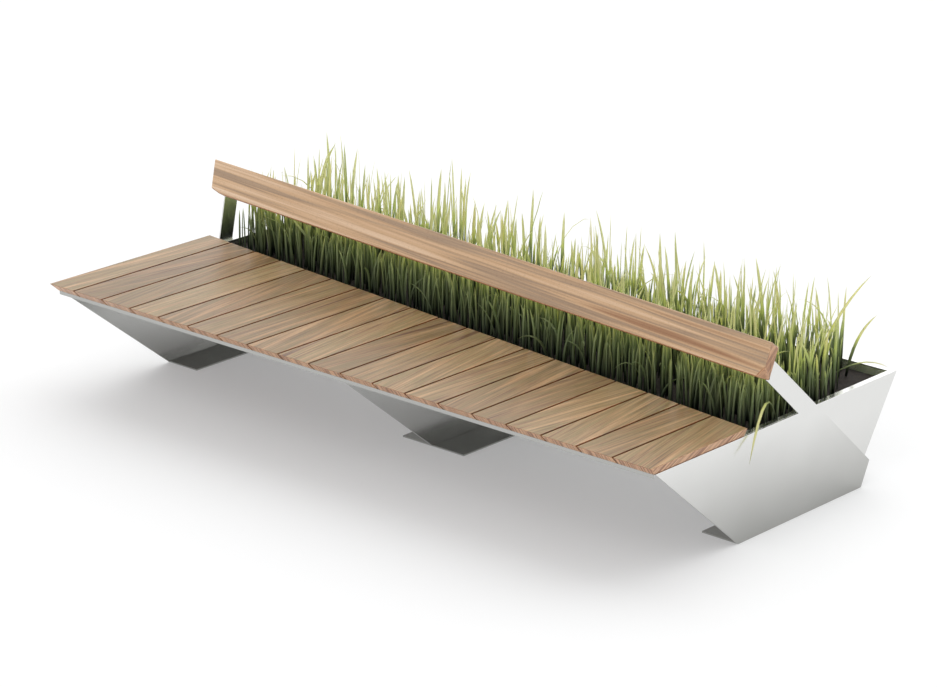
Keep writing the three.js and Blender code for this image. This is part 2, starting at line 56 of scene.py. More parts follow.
MM = 0.001
UP = Vector((0, 0, 1))
BODY = "root"
# Points this near to each other are one corner, and points this near to a level lie on it
SAME_CORNER = 0.05 * MM
SAME_LEVEL = 1 * MM
# Where each group's random draws start
SEEDS = {"slats": 7, "plank": 23, "soil": 11, "grass": 41}


# Settings

def linear(hex_colour):
    """The linear red, green, blue and alpha that shaders read, from an sRGB hex colour."""
    shares = [int(hex_colour[i:i + 2], 16) / 255 for i in (1, 3, 5)]
    return tuple(s / 12.92 if s <= 0.04045 else ((s + 0.055) / 1.055) ** 2.4 for s in shares) + (1.0,)


def colour_property(name, hex_colour, description):
    """A colour that is given as sRGB hex and kept as linear shares."""
    return bpy.props.FloatVectorProperty(
        name=name, description=description, default=linear(hex_colour)[:3], subtype="COLOR", min=0, max=1
    )


def length_property(name, millimetres, description):
    """A length that is given in millimetres and kept in metres."""
    return bpy.props.FloatProperty(
        name=name, description=description, default=millimetres * MM, unit="LENGTH", min=0, precision=4
    )


def share_property(name, share, description):
    """A share from 0 to 1."""
    return bpy.props.FloatProperty(
        name=name, description=description, default=share, subtype="FACTOR", min=0, max=1
    )


class SlatSettings(bpy.types.PropertyGroup):
    edge: length_property("Edge", 2.5, "Radius of the slats' eased edges")
    streak: length_property("Streak", 26, "Width of the broad streaks")
    run: length_property("Run", 750, "Length of the broad streaks")
    tan: colour_property("Tan", "#b19169", "Most of the face")
    olive: colour_property("Olive", "#958257", "Greenish streaks")
    peach: colour_property("Peach", "#cea87c", "Pale streaks")
    brown: colour_property("Brown", "#714c2d", "Dark streaks")
    lines: share_property("Lines", 0.8, "How far the fine lines darken the timber")
    cut_light: colour_property("Cut light", "#dcae86", "Pale parts of cut faces")
    cut_dark: colour_property("Cut dark", "#8f5a3a", "Dark parts of cut faces")


class PlankSettings(bpy.types.PropertyGroup):
    edge: length_property("Edge", 5, "Radius of the plank's rounded edges")
    streak: length_property("Streak", 42, "Width of the broad streaks")
    run: length_property("Run", 2400, "Length of the broad streaks")
    tan: colour_property("Tan", "#d4b08a", "Most of the face")
    olive: colour_property("Olive", "#a68d75", "Greyish streaks")
    peach: colour_property("Peach", "#ebceb0", "Pale streaks")
    brown: colour_property("Brown", "#a47a58", "Dark streaks")
    lines: share_property("Lines", 0.3, "How far the fine lines darken the timber")
    cut_light: colour_property("Cut light", "#dfa87e", "Pale parts of cut faces")
    cut_dark: colour_property("Cut dark", "#a5694a", "Dark parts of cut faces")


class SteelSettings(bpy.types.PropertyGroup):
    colour: colour_property("Colour", "#dededc", "Stainless steel seen head on")
    # This grey is painted shade: the steel darkens to it towards the ground, for the shaded floor that it
    # mirrors there
    painted_shade: colour_property("Film", "#acaca9", "Steel dulled by splashes from the ground")
    edge: length_property("Edge", 0.9, "Radius of the deburred sheet edges")
    brush: length_property("Brush", 0.6, "Width of a brush mark, wider than real so that it shows")
    # How high the painted shade reaches up the steel
    splash: length_property("Splash", 400, "Height that splashes reach")


class SoilSettings(bpy.types.PropertyGroup):
    colour: colour_property("Colour", "#241c15", "Moist compost")
    clod: length_property("Clod", 22, "Size of the clods")
    heave: length_property("Heave", 9, "How far the clods rise above the level bed")


class GrassSettings(bpy.types.PropertyGroup):
    spacing: length_property("Spacing", 27.5, "Distance between neighbouring blades")
    width: length_property("Width", 10, "Usual width of a blade")
    shortest: length_property("Shortest", 105, "Least height of a free blade above the rim")
    tallest: length_property("Tallest", 415, "Greatest height of a free blade above the rim")
    # Colours by height over the bed: the dark foot is partly painted shade low in the clump and under the
    # plank, and the pale tip partly painted light at its top
    tip: colour_property("Tip", "#ffffd6", "Dry tips")
    upper: colour_property("Upper", "#f6fcba", "Upper blade")
    middle: colour_property("Middle", "#b2c092", "Middle of the blade")
    base: colour_property("Base", "#38443a", "Foot of the blade")
    sheer: share_property("Sheer", 0.55, "Share of the light that passes through a blade")


class StageSettings(bpy.types.PropertyGroup):
    floor: colour_property("Floor", "#e8e8e8", "Pale studio floor")
    size: length_property("Floor size", 60000, "Side of the floor")


# Materials

# What the noise patterns share, as their coordinates are scaled beforehand
NOISE = {"Scale": 1.0, "Roughness": 0.55}
# A colour mix's sockets for its factor, the colour below and the colour on top, and its two kinds
FACTOR, UNDER, OVER = 0, 6, 7
BLEND = {"data_type": "RGBA"}
MULTIPLY = {"data_type": "RGBA", "blend_type": "MULTIPLY"}


def add_node(tree, kind, inputs=None, stops=(), **settings):
    """Adds a shader node with its settings and links.

    Inputs gives each socket its value, or what feeds it: another socket, or a node's first output in use.
    Stops gives a ramp its places and colours. Settings are the node's own properties.
    """
    node = tree.nodes.new("ShaderNode" + kind)
    for name, value in settings.items():
        setattr(node, name, value)
    for key, value in (inputs or {}).items():
        if isinstance(value, bpy.types.Node):
            value = next(socket for socket in value.outputs if socket.enabled)
        if isinstance(value, bpy.types.NodeSocket):
            tree.links.new(value, node.inputs[key])
        else:
            node.inputs[key].default_value = value
    for number, (place, colour) in enumerate(stops):
        elements = node.color_ramp.elements
        element = elements[number] if number < len(elements) else elements.new(place)
        element.position = place
        element.color = opaque(colour)
    return node


def opaque(colour):
    """A colour with its alpha, from a hex value or from three linear shares."""
    return linear(colour) if isinstance(colour, str) else (*colour, 1.0)


def cells(*sizes):
    """The scale that gives a texture cells of these sizes in metres."""
    return tuple(1 / size for size in sizes)


def new_material(name):
    """A material and its node tree, which is still empty."""
    material = bpy.data.materials.new(name)
    material.use_nodes = True
    material.node_tree.nodes.clear()
    return material, material.node_tree


def oiled_iroko(name, settings):
    """Iroko, planed and oiled: tan with greenish and brown streaks, and a satin film that mirrors the sky."""
    material, tree = new_material(name)
    grain = add_node(tree, "Attribute", attribute_name="grain").outputs["Vector"]
    tone = add_node(tree, "Attribute", attribute_name="tone").outputs["Fac"]
    cut = add_node(tree, "Attribute", attribute_name="cut").outputs["Fac"]
    # Growth rings sawn at a slant give broad streaks and finer ones between them. Pores are dashes, drawn
    # about four times too wide so that they show.
    broad_size = (settings.streak, settings.run, settings.streak)
    fine_size = (6 * MM, settings.run * 0.45, 6 * MM)
    pore_size = (1.1 * MM, 14 * MM, 1.1 * MM)
    marks = {}
    patterns = (("broad", broad_size, 3.0), ("fine", fine_size, 3.0), ("pores", pore_size, 2.0))
    for key, size, detail in patterns:
        scaled = add_node(tree, "VectorMath", {0: grain, 1: cells(*size)}, operation="MULTIPLY")
        marks[key] = add_node(tree, "TexNoise", {**NOISE, "Vector": scaled, "Detail": detail})
    face = add_node(tree, "ValToRGB", {"Fac": marks["broad"]}, [
        (0.30, settings.brown), (0.40, settings.tan), (0.49, settings.olive),
        (0.56, settings.tan), (0.68, settings.peach),
    ])
    lines = add_node(tree, "ValToRGB", {"Fac": marks["fine"]}, [
        (0.30, "#9a7a60"), (0.44, "#e8dccd"), (0.56, "#ffffff"),
    ])
    lined = add_node(tree, "Mix", {FACTOR: settings.lines, UNDER: face, OVER: lines}, **MULTIPLY)
    sawn = add_node(tree, "ValToRGB", {"Fac": marks["fine"]}, [
        (0.40, settings.cut_dark), (0.56, settings.cut_light),
    ])
    timber = add_node(tree, "Mix", {FACTOR: cut, UNDER: lined, OVER: sawn}, **BLEND)
    dashes = add_node(tree, "ValToRGB", {"Fac": marks["pores"]}, [(0.30, "#7a6552"), (0.42, "#ffffff")])
    pored = add_node(tree, "Mix", {FACTOR: 0.45, UNDER: timber, OVER: dashes}, **MULTIPLY)
    # Tone 0 is painted shade, on the sides of the joints and along the slats' top front edge, and from 0.35 to
    # 1 it tells one board from the next
    board = add_node(tree, "ValToRGB", {"Fac": tone}, [
        (0.0, "#c39a80"), (0.25, "#d3c9bf"), (1.0, "#ffffff"),
    ])
    colour = add_node(tree, "Mix", {FACTOR: 1.0, UNDER: pored, OVER: board}, **MULTIPLY)
    gloss = add_node(tree, "MapRange", {"Value": marks["fine"], "To Min": 0.30, "To Max": 0.44})
    bump = add_node(tree, "Bump", {"Height": marks["pores"], "Strength": 0.25, "Distance": 0.4 * MM})
    shader = add_node(tree, "BsdfPrincipled", {
        "Base Color": colour, "Roughness": gloss, "IOR": 1.5, "Normal": bump,
    })
    add_node(tree, "OutputMaterial", {"Surface": shader})
    return material


def brushed_stainless(name, settings, roughness, foot, head):
    """Stainless sheet, brushed: a pale grey metal that blurs what it mirrors.

    Towards the ground its colour darkens as painted shade, for the shaded floor that it mirrors there. Foot
    and head say how much of its bright colour it keeps at the ground and from the top of that painted shade
    up, from 0 to 1.
    """
    material, tree = new_material(name)
    place = add_node(tree, "TexCoord").outputs["Object"]
    brush_size = (90 * MM, 90 * MM, settings.brush)
    cloud_size = (280 * MM, 280 * MM, 280 * MM)
    cloud_drift = 50 * MM
    marks = {}
    for key, size in (("brush", brush_size), ("clouds", cloud_size)):
        scaled = add_node(tree, "VectorMath", {0: place, 1: cells(*size)}, operation="MULTIPLY")
        marks[key] = add_node(tree, "TexNoise", {**NOISE, "Vector": scaled, "Detail": 2.0})
    # Painted shade: towards the ground the colour darkens from the bright steel to the shaded grey, below an
    # edge that the clouds make uneven
    height = add_node(tree, "SeparateXYZ", {0: place}).outputs["Z"]
    drift = add_node(tree, "MapRange", {
        "Value": marks["clouds"], "To Min": -cloud_drift, "To Max": cloud_drift,
    })
    level = add_node(tree, "Math", {0: height, 1: drift}, operation="ADD")
    clear = add_node(tree, "MapRange", {
        "Value": level, "From Min": 0.0, "From Max": settings.splash, "To Min": foot, "To Max": head,
    })
    painted_shade, bright = opaque(settings.painted_shade), opaque(settings.colour)
    colour = add_node(tree, "Mix", {FACTOR: clear, UNDER: painted_shade, OVER: bright}, **BLEND)
    dull = add_node(tree, "MapRange", {
        "Value": marks["brush"], "To Min": roughness - 0.04, "To Max": roughness + 0.06,
    })
    bump = add_node(tree, "Bump", {"Height": marks["brush"], "Strength": 0.06, "Distance": 0.1 * MM})
    shader = add_node(tree, "BsdfPrincipled", {
        "Base Color": colour, "Metallic": 1.0, "Roughness": dull, "Normal": bump,
    })
    add_node(tree, "OutputMaterial", {"Surface": shader})
    return material


def zinc_plated_steel():
    """Bolts of zinc-plated steel, tumbled: a duller grey with faint mottling."""
    material, tree = new_material("Steel, zinc plated")
    place = add_node(tree, "TexCoord").outputs["Object"]
    mottle_size = 4 * MM
    mottle = add_node(tree, "TexNoise", {**NOISE, "Vector": place, "Scale": 1 / mottle_size, "Detail": 3.0})
    colour = add_node(tree, "ValToRGB", {"Fac": mottle}, [(0.35, "#94989a"), (0.65, "#b9bcbc")])
    dull = add_node(tree, "MapRange", {"Value": mottle, "To Min": 0.32, "To Max": 0.5})
    shader = add_node(tree, "BsdfPrincipled", {"Base Color": colour, "Metallic": 1.0, "Roughness": dull})
    add_node(tree, "OutputMaterial", {"Surface": shader})
    return material


def moist_compost(settings):
    """Compost, moist and loose: near black crumbs with a few paler fibres."""
    material, tree = new_material("Compost, moist")
    place = add_node(tree, "TexCoord").outputs["Object"]
    crumb_size = (7 * MM, 7 * MM, 7 * MM)
    fibre_size = (18 * MM, 3 * MM, 3 * MM)
    marks = {}
    for key, size, detail in (("crumbs", crumb_size, 5.0), ("fibres", fibre_size, 2.0)):
        scaled = add_node(tree, "VectorMath", {0: place, 1: cells(*size)}, operation="MULTIPLY")
        marks[key] = add_node(tree, "TexNoise", {**NOISE, "Vector": scaled, "Detail": detail})
    crumbs = add_node(tree, "ValToRGB", {"Fac": marks["crumbs"]}, [
        (0.35, "#0f0b08"), (0.55, settings.colour), (0.75, "#3d3024"),
    ])
    fibre = add_node(tree, "MapRange", {"Value": marks["fibres"], "From Min": 0.68, "From Max": 0.74})
    colour = add_node(tree, "Mix", {FACTOR: fibre, UNDER: crumbs, OVER: linear("#5b4a35")}, **BLEND)
    dull = add_node(tree, "MapRange", {"Value": marks["crumbs"], "To Min": 0.75, "To Max": 0.98})
    bump = add_node(tree, "Bump", {"Height": marks["crumbs"], "Strength": 0.8, "Distance": 3 * MM})
    shader = add_node(tree, "BsdfPrincipled", {"Base Color": colour, "Roughness": dull, "Normal": bump})
    add_node(tree, "OutputMaterial", {"Surface": shader})
    return material


def fired_clay():
    """Expanded clay pebbles, fired: round, matt, brick brown."""
    material, tree = new_material("Clay pebbles, fired")
    place = add_node(tree, "TexCoord").outputs["Object"]
    pebble_size = (11 * MM, 11 * MM, 11 * MM)
    scaled = add_node(tree, "VectorMath", {0: place, 1: cells(*pebble_size)}, operation="MULTIPLY")
    pebbles = add_node(tree, "TexVoronoi", {"Vector": scaled, "Scale": 1.0}).outputs["Distance"]
    height = add_node(tree, "MapRange", {"Value": pebbles, "From Max": 0.7, "To Min": 1.0, "To Max": 0.0})
    colour = add_node(tree, "ValToRGB", {"Fac": pebbles}, [(0.2, "#9a6446"), (0.7, "#4a2d1e")])
    bump = add_node(tree, "Bump", {"Height": height, "Strength": 1.0, "Distance": 5 * MM})
    shader = add_node(tree, "BsdfPrincipled", {"Base Color": colour, "Roughness": 0.9, "Normal": bump})
    add_node(tree, "OutputMaterial", {"Surface": shader})
    return material


def needled_fleece():
    """Filter fleece, needled: off-white felt of short fibres."""
    material, tree = new_material("Filter fleece, needled")
    place = add_node(tree, "TexCoord").outputs["Object"]
    # Tufts are drawn, as a single fibre is too fine to show
    tuft_size = (1.5 * MM, 5 * MM, 1.5 * MM)
    scaled = add_node(tree, "VectorMath", {0: place, 1: cells(*tuft_size)}, operation="MULTIPLY")
    fibres = add_node(tree, "TexNoise", {**NOISE, "Vector": scaled, "Detail": 4.0})
    colour = add_node(tree, "ValToRGB", {"Fac": fibres}, [(0.35, "#b9b9b2"), (0.65, "#e4e4de")])
    bump = add_node(tree, "Bump", {"Height": fibres, "Strength": 0.5, "Distance": 1 * MM})
    shader = add_node(tree, "BsdfPrincipled", {
        "Base Color": colour, "Roughness": 0.95, "Sheen Weight": 0.3, "Normal": bump,
    })
    add_node(tree, "OutputMaterial", {"Surface": shader})
    return material


def living_grass(settings):
    """Living grass, grown: dark green at the foot, olive above, straw pale at the tip, with a waxy sheen. As
    the colour follows the height over the bed, the dark foot is partly painted shade, low in the clump and
    under the plank, and the pale top partly painted light.
    """
    material, tree = new_material("Grass blades, living")
    rise = add_node(tree, "Attribute", attribute_name="rise").outputs["Fac"]
    tone = add_node(tree, "Attribute", attribute_name="tone").outputs["Fac"]
    place = add_node(tree, "TexCoord").outputs["Object"]
    # Veins run up a blade, drawn wide so that they show
    vein_size = (3 * MM, 3 * MM, 60 * MM)
    scaled = add_node(tree, "VectorMath", {0: place, 1: cells(*vein_size)}, operation="MULTIPLY")
    veins = add_node(tree, "TexNoise", {**NOISE, "Vector": scaled, "Detail": 3.0})
    # Darker towards the bed: partly the blades' own colour, partly painted shade where the plank and the other
    # blades shade them, and the pale top partly painted light
    height = add_node(tree, "ValToRGB", {"Fac": rise}, [
        (0.06, settings.base), (0.34, settings.middle), (0.47, settings.upper), (0.58, settings.tip),
    ])
    blade = add_node(tree, "ValToRGB", {"Fac": tone}, [
        (0.0, "#c8d6b6"), (0.35, "#f6f9e4"), (0.7, "#ffffff"), (0.92, "#fff8d6"),
    ])
    tinted = add_node(tree, "Mix", {FACTOR: 0.5, UNDER: height, OVER: blade}, **MULTIPLY)
    vein = add_node(tree, "ValToRGB", {"Fac": veins}, [(0.3, "#a3b08a"), (0.7, "#ffffff")])
    colour = add_node(tree, "Mix", {FACTOR: 0.2, UNDER: tinted, OVER: vein}, **MULTIPLY)
    gloss = add_node(tree, "MapRange", {"Value": veins, "To Min": 0.38, "To Max": 0.6})
    shader = add_node(tree, "BsdfPrincipled", {"Base Color": colour, "Roughness": gloss, "IOR": 1.4})
    through = add_node(tree, "BsdfTranslucent", {"Color": colour})
    both = add_node(tree, "MixShader", {0: settings.sheer, 1: shader, 2: through})
    add_node(tree, "OutputMaterial", {"Surface": both})
    return material


# Pieces and CAD nodes

def object_from(name, data):
    """Adds an object with a mesh, a camera or a lamp to the scene."""
    piece = bpy.data.objects.new(name, data)
    bpy.context.scene.collection.objects.link(piece)
    return piece


def mesh_from(name, bm):
    """Turns a finished bmesh into a mesh."""
    mesh = bpy.data.meshes.new(name)
    bm.to_mesh(mesh)
    bm.free()
    return mesh


def write_attribute(mesh, name, kind, domain, values):
    """Adds an attribute to a mesh, with a value or a vector for each element."""
    field = "vector" if kind == "FLOAT_VECTOR" else "value"
    attribute = mesh.attributes.new(name, kind, domain)
    attribute.data.foreach_set(field, np.asarray(values, np.float32).reshape(-1))


def dress(piece, material, node):
    """Gives a new piece its material and slot, and lets it ride on the bench and stand for a CAD node."""
    piece.data.materials.append(material)
    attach(piece, BODY)
    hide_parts(node)


def nodes_named(*starts):
    """The names of the CAD nodes that start with any of these words, in order."""
    return sorted(name for name in NODES if name.startswith(starts))


def coat(name, material):
    """Gives a CAD node its material and slot."""
    node = NODES[name]
    node.data.materials.clear()
    node.data.materials.append(material)
    return node


def widest_face(node, side):
    """The widest of a CAD node's faces that look towards one side."""
    return max(NODES[node].data.polygons, key=lambda face: face.area * (face.normal.dot(side) > 0.7))


# A plan's corners, each with the side of the middle that it lies on along X and along Y
CORNERS = {"front_left": (-1, -1), "front_right": (1, -1), "back_right": (1, 1), "back_left": (-1, 1)}


def corners_at(node, level):
    """The four corners of a CAD node's outline at one level."""
    points = [vertex.co for vertex in NODES[node].data.vertices if abs(vertex.co.z - level) < SAME_LEVEL]
    middle = sum(points, Vector()) / len(points)
    corners = {}
    for key, (side_x, side_y) in CORNERS.items():
        near = [point for point in points if (point.x - middle.x) * side_x > 0]
        corners[key] = max(near, key=lambda point: point.y * side_y)
    return corners


def front_and_back(corners, share):
    """The points on a plan's front and back edges at one share of its length."""
    front = corners["front_left"].lerp(corners["front_right"], share)
    back = corners["back_left"].lerp(corners["back_right"], share)
    return front, back


# Timber

# Each board is cut from its own place, up to so many metres away in the same timber
TIMBER_REACH = 5
# By how many degrees a slat's grain turns at most, and the plank's grain from its edges
SLAT_GRAIN_TURN = 13
PLANK_GRAIN_TURN = 0.8
# The darkest slat and the palest
SLAT_TONES = (0.35, 1.0)
# Tone and cut of the other faces. Over half a cut, saw marks take the place of the grain.
# Painted shade: dark and uncut, for the sides of the joints and the slats' top front edge
PAINTED_SHADE_FACE = (0.0, 0.0)
FRESH_CUT = (1.0, 1.0)
OILED_PLANK = (1.0, 0.0)
SAWN_PLANK_END = (0.9, 0.55)
# Darker and redder, partly as painted shade along the plank's lower edge
SAWN_SHADED_PLANK_EDGE = (0.45, 0.8)
HALF_CUT = 0.5
# How far saw marks lean and how much wider than the grain they are, on ends and on other cut faces
END_SAW_MARKS = (1.0, 2.2)
OTHER_SAW_MARKS = (0.35, 1.0)


def board_mesh(name, node, edge):
    """The convex solid of a CAD board as a mesh with eased edges."""
    bm = bmesh.new()
    bm.from_mesh(NODES[node].data)
    bmesh.ops.remove_doubles(bm, verts=bm.verts, dist=SAME_CORNER)
    corners = [vertex.co.copy() for vertex in bm.verts]
    bm.clear()
    for corner in corners:
        bm.verts.new(corner)
    hull = bmesh.ops.convex_hull(bm, input=bm.verts)
    inside = {g for g in hull["geom_interior"] + hull["geom_unused"] if isinstance(g, bmesh.types.BMVert)}
    bmesh.ops.delete(bm, geom=list(inside), context="VERTS")
    bmesh.ops.dissolve_limit(bm, angle_limit=math.radians(1), verts=bm.verts, edges=bm.edges)
    bmesh.ops.bevel(bm, geom=bm.edges, offset=edge, segments=3, profile=0.5, affect="EDGES")
    bmesh.ops.recalc_face_normals(bm, faces=bm.faces)
    mesh = mesh_from(name, bm)
    mesh.shade_smooth()
    return mesh


def write_grain(mesh, along, up, rng, finish):
    """Writes where a board's corners lie in its timber, and the tone and cut that finish gives each face."""
    shift = Vector(rng.uniform(-TIMBER_REACH, TIMBER_REACH, 3))
    across = along.cross(up)
    count = len(mesh.loops)
    grain, tones, cuts = np.zeros((count, 3)), np.zeros(count), np.zeros(count)
    for face in mesh.polygons:
        tone, cut = finish(face.normal)
        level = face.normal.cross(UP).normalized()
        lean, width = END_SAW_MARKS if abs(face.normal.x) > 0.5 else OTHER_SAW_MARKS
        for corner in face.loop_indices:
            point = mesh.vertices[mesh.loops[corner].vertex_index].co
            if cut > HALF_CUT:
                slanted = (point.dot(level) + lean * point.z) / width
                place = Vector((slanted, point.z, point.dot(face.normal)))
            else:
                place = Vector((point.dot(across), point.dot(along), point.dot(up)))
            grain[corner] = place + shift
            tones[corner] = tone
            cuts[corner] = cut
    write_attribute(mesh, "grain", "FLOAT_VECTOR", "CORNER", grain)
    write_attribute(mesh, "tone", "FLOAT", "CORNER", tones)
    write_attribute(mesh, "cut", "FLOAT", "CORNER", cuts)


def lay_board(name, mesh, material, node):
    """Adds a finished board with even shading."""
    piece = object_from(name, mesh)
    piece.modifiers.new("Even normals", "WEIGHTED_NORMAL").weight = 100
    dress(piece, material, node)


def slat_finish(normal, tone, outer):
    """Tone and cut of a slat's faces: oiled top, fresh cut on its undercut front and at the seat's ends.

    Outer is -1 or 1 for the slat at the left or right end. The other faces and the top front edge are darkened
    as painted shade, for the shade in the joints and the dark line along that edge.
    """
    is_top = normal.z > 0.93
    is_front = normal.y < -0.3
    is_front_edge = is_front and normal.z > 0.2
    is_outer_side = normal.x * outer > 0.5
    if is_top:
        return tone, 0.0
    # The top front edge is darkened as painted shade
    if is_front_edge:
        return PAINTED_SHADE_FACE
    return FRESH_CUT if is_front or is_outer_side else PAINTED_SHADE_FACE


def plank_finish(normal, front):
    """Tone and cut of the plank's faces: oiled front and top, redder sawn ends, and a back and lower edge that
    are redder and darker, that colour being partly painted shade along the lower edge.
    """
    is_front = normal.dot(front) > 0.97
    is_end = abs(normal.x) > 0.5
    if is_front or normal.z > 0.1:
        return OILED_PLANK
    return SAWN_PLANK_END if is_end else SAWN_SHADED_PLANK_EDGE


class BENCH_OT_slats(bpy.types.Operator):
    """Cuts the seat's slats with eased edges, each from timber of its own"""

    bl_idname = "bench.slats"
    bl_label = "Seat slats"

    def execute(self, context):
        settings = context.scene.bench_slats
        material = oiled_iroko("Iroko, planed and oiled, of the seat", settings)
        names = nodes_named("seat_slat_")
        outer = {names[0]: -1, names[-1]: 1}
        rng = np.random.default_rng(SEEDS["slats"])
        for name in names:
            mesh = board_mesh("board_" + name[-2:], name, settings.edge)
            turn = math.radians(rng.uniform(-SLAT_GRAIN_TURN, SLAT_GRAIN_TURN))
            along = Vector((math.sin(turn), math.cos(turn), 0))
            tone = rng.uniform(*SLAT_TONES)
            write_grain(mesh, along, UP, rng, lambda normal: slat_finish(normal, tone, outer.get(name, 0)))
            lay_board("slat_board_" + name[-2:], mesh, material, name)
        return {"FINISHED"}


class BENCH_OT_plank(bpy.types.Operator):
    """Cuts the backrest plank from one long straight-grained board"""

    bl_idname = "bench.plank"
    bl_label = "Backrest plank"

    def execute(self, context):
        settings = context.scene.bench_plank
        front = widest_face("backrest_plank", Vector((0, -1, 0))).normal.copy()
        run = UP.cross(front).normalized() * -1
        turn = math.radians(PLANK_GRAIN_TURN)
        along = run * math.cos(turn) + run.cross(front) * math.sin(turn)
        mesh = board_mesh("backrest_board", "backrest_plank", settings.edge)
        rng = np.random.default_rng(SEEDS["plank"])
        write_grain(mesh, along, front, rng, lambda normal: plank_finish(normal, front))
        material = oiled_iroko("Iroko, planed and oiled, of the plank", settings)
        lay_board("backrest_board", mesh, material, "backrest_plank")
        return {"FINISHED"}


# Steel

# Edges that turn by more than this are sharp
SHARP_EDGE = math.radians(25)
FASTENER_EDGE = 0.4 * MM
# How the names of each part's nodes start, how rough its steel is, and how much of its bright colour it keeps
# at foot and head, the rest being painted shade.
# The rails are painted shaded grey all the way up, and a head over 1 ends the trough's painted shade sooner.
STEEL_PARTS = {
    "plates": (("end_plate", "centre_plate", "ground_flange"), 0.2, 0.0, 1.0),
    "trough": (("planter_", "backrest_bracket"), 0.24, 0.65, 1.1),
    "rails": (("seat_front_rail", "seat_middle_rail"), 0.24, 0.0, 0.05),
}


def deburr(node, edge):
    """Rounds the sharp edges of a CAD node a little."""
    node.modifiers.new("Join corners", "WELD").merge_threshold = SAME_CORNER
    bevel = node.modifiers.new("Deburred edges", "BEVEL")
    bevel.width = edge
    bevel.segments = 2
    bevel.limit_method = "ANGLE"
    bevel.angle_limit = SHARP_EDGE
    bevel.harden_normals = True


class BENCH_OT_steelwork(bpy.types.Operator):
    """Brushes the stainless plates, flanges, rails, brackets and the planter"""

    bl_idname = "bench.steelwork"
    bl_label = "Steelwork"

    def execute(self, context):
        settings = context.scene.bench_steel
        for part, (starts, roughness, foot, head) in STEEL_PARTS.items():
            title = "Stainless steel, brushed, of the " + part
            material = brushed_stainless(title, settings, roughness, foot, head)
            for name in nodes_named(*starts):
                deburr(coat(name, material), settings.edge)
        return {"FINISHED"}


class BENCH_OT_fasteners(bpy.types.Operator):
    """Plates the anchor studs and the backrest's screws"""

    bl_idname = "bench.fasteners"
    bl_label = "Fasteners"

    def execute(self, context):
        material = zinc_plated_steel()
        for name in nodes_named("anchor_stud", "backrest_screw"):
            deburr(coat(name, material), FASTENER_EDGE)
        return {"FINISHED"}


# Planter fill

BED_COLUMNS = 200
BED_ROWS = 56
# The clods reach their full height this many steps in from the edge
EDGE_STEPS = 2


def smooth_random(rng, width, height, cell):
    """A field from 0 to 1 whose lumps are cell steps wide, with finer lumps on them."""
    field = np.zeros((width, height))
    weight = 1.0
    for size in (cell, cell / 2, cell / 4):
        knots = rng.random((int(width / size) + 3, int(height / size) + 3))
        x, y = np.arange(width) / size, np.arange(height) / size
        i, j = x.astype(int), y.astype(int)
        u, v = (x - i)[:, None], (y - j)[None, :]
        u, v = u * u * (3 - 2 * u), v * v * (3 - 2 * v)
        near = knots[i][:, j] * (1 - u) + knots[i + 1][:, j] * u
        far = knots[i][:, j + 1] * (1 - u) + knots[i + 1][:, j + 1] * u
        field += weight * (near * (1 - v) + far * v)
        weight /= 2
    return field / field.max()


def soil_mesh(settings):
    """The compost as a closed body whose top is heaved into clods."""
    low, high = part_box("planting_soil")
    top = corners_at("planting_soil", high.z)
    bottom = corners_at("planting_soil", low.z)
    step = (high.x - low.x) / BED_COLUMNS
    rng = np.random.default_rng(SEEDS["soil"])
    clods = smooth_random(rng, BED_COLUMNS + 1, BED_ROWS + 1, settings.clod / step)
    bm = bmesh.new()
    grid = []
    for row in range(BED_ROWS + 1):
        line = []
        for column in range(BED_COLUMNS + 1):
            front, back = front_and_back(top, column / BED_COLUMNS)
            point = front.lerp(back, row / BED_ROWS)
            inwards = min(column, BED_COLUMNS - column, row, BED_ROWS - row)
            point.z += settings.heave * clods[column, row] * min(1.0, inwards / EDGE_STEPS)
            line.append(bm.verts.new(point))
        grid.append(line)
    for near, far in zip(grid, grid[1:]):
        for i in range(BED_COLUMNS):
            bm.faces.new((near[i], near[i + 1], far[i + 1], far[i]))
    foot = [bm.verts.new(bottom[key]) for key in CORNERS]
    edges = (grid[0], [line[-1] for line in grid], grid[-1][::-1], [line[0] for line in grid][::-1])
    for edge, first, last in zip(edges, foot, foot[1:] + foot[:1]):
        bm.faces.new([first, last, *edge[::-1]])
    bm.faces.new(foot[::-1])
    bmesh.ops.recalc_face_normals(bm, faces=bm.faces)
    mesh = mesh_from("compost_bed", bm)
    for face in mesh.polygons:
        face.use_smooth = len(face.vertices) == 4
    return mesh


class BENCH_OT_fill(bpy.types.Operator):
    """Fills the trough with clay pebbles, fleece and a bed of compost with clods"""

    bl_idname = "bench.fill"
    bl_label = "Planter fill"

    def execute(self, context):
        settings = context.scene.bench_soil
        coat("drainage_layer", fired_clay())
        coat("filter_fleece", needled_fleece())
        piece = object_from("compost_bed", soil_mesh(settings))
        dress(piece, moist_compost(settings), "planting_soil")
        return {"FINISHED"}


# Grass

# A blade has three sides, and its rings of points lie at these shares of its length
SIDES = 3
SEGMENTS = 8
SHARES = np.linspace(0, 1, SEGMENTS + 1)
POINTS = SEGMENTS * SIDES + 1
# Its foot's share of the full width, from where it has that width, and its ridge's share of half of it
FOOT_WIDTH = 0.75
FULL_FROM = 0.25
RIDGE_HEIGHT = 0.5
# Usual tilt and bend in radians, the share of blades that bow over and how far, and how late blades bend
BLADE_TILT = 0.045
BLADE_BEND = 0.25
BOWED_SHARE = 0.05
BOWED_BEND = (1.2, 2.4)
BEND_POWER = (1.3, 2.6)
# The narrowest and the widest blade as shares of the usual one, and the tones' mean and spread
BLADE_WIDTHS = (0.6, 1.4)
BLADE_TONES = (0.6, 0.26)
# How far a free blade's colour follows its length and not its height over the bed, whose dark low part is
# partly painted shade
FREE_OWN_SHARE = 0.25

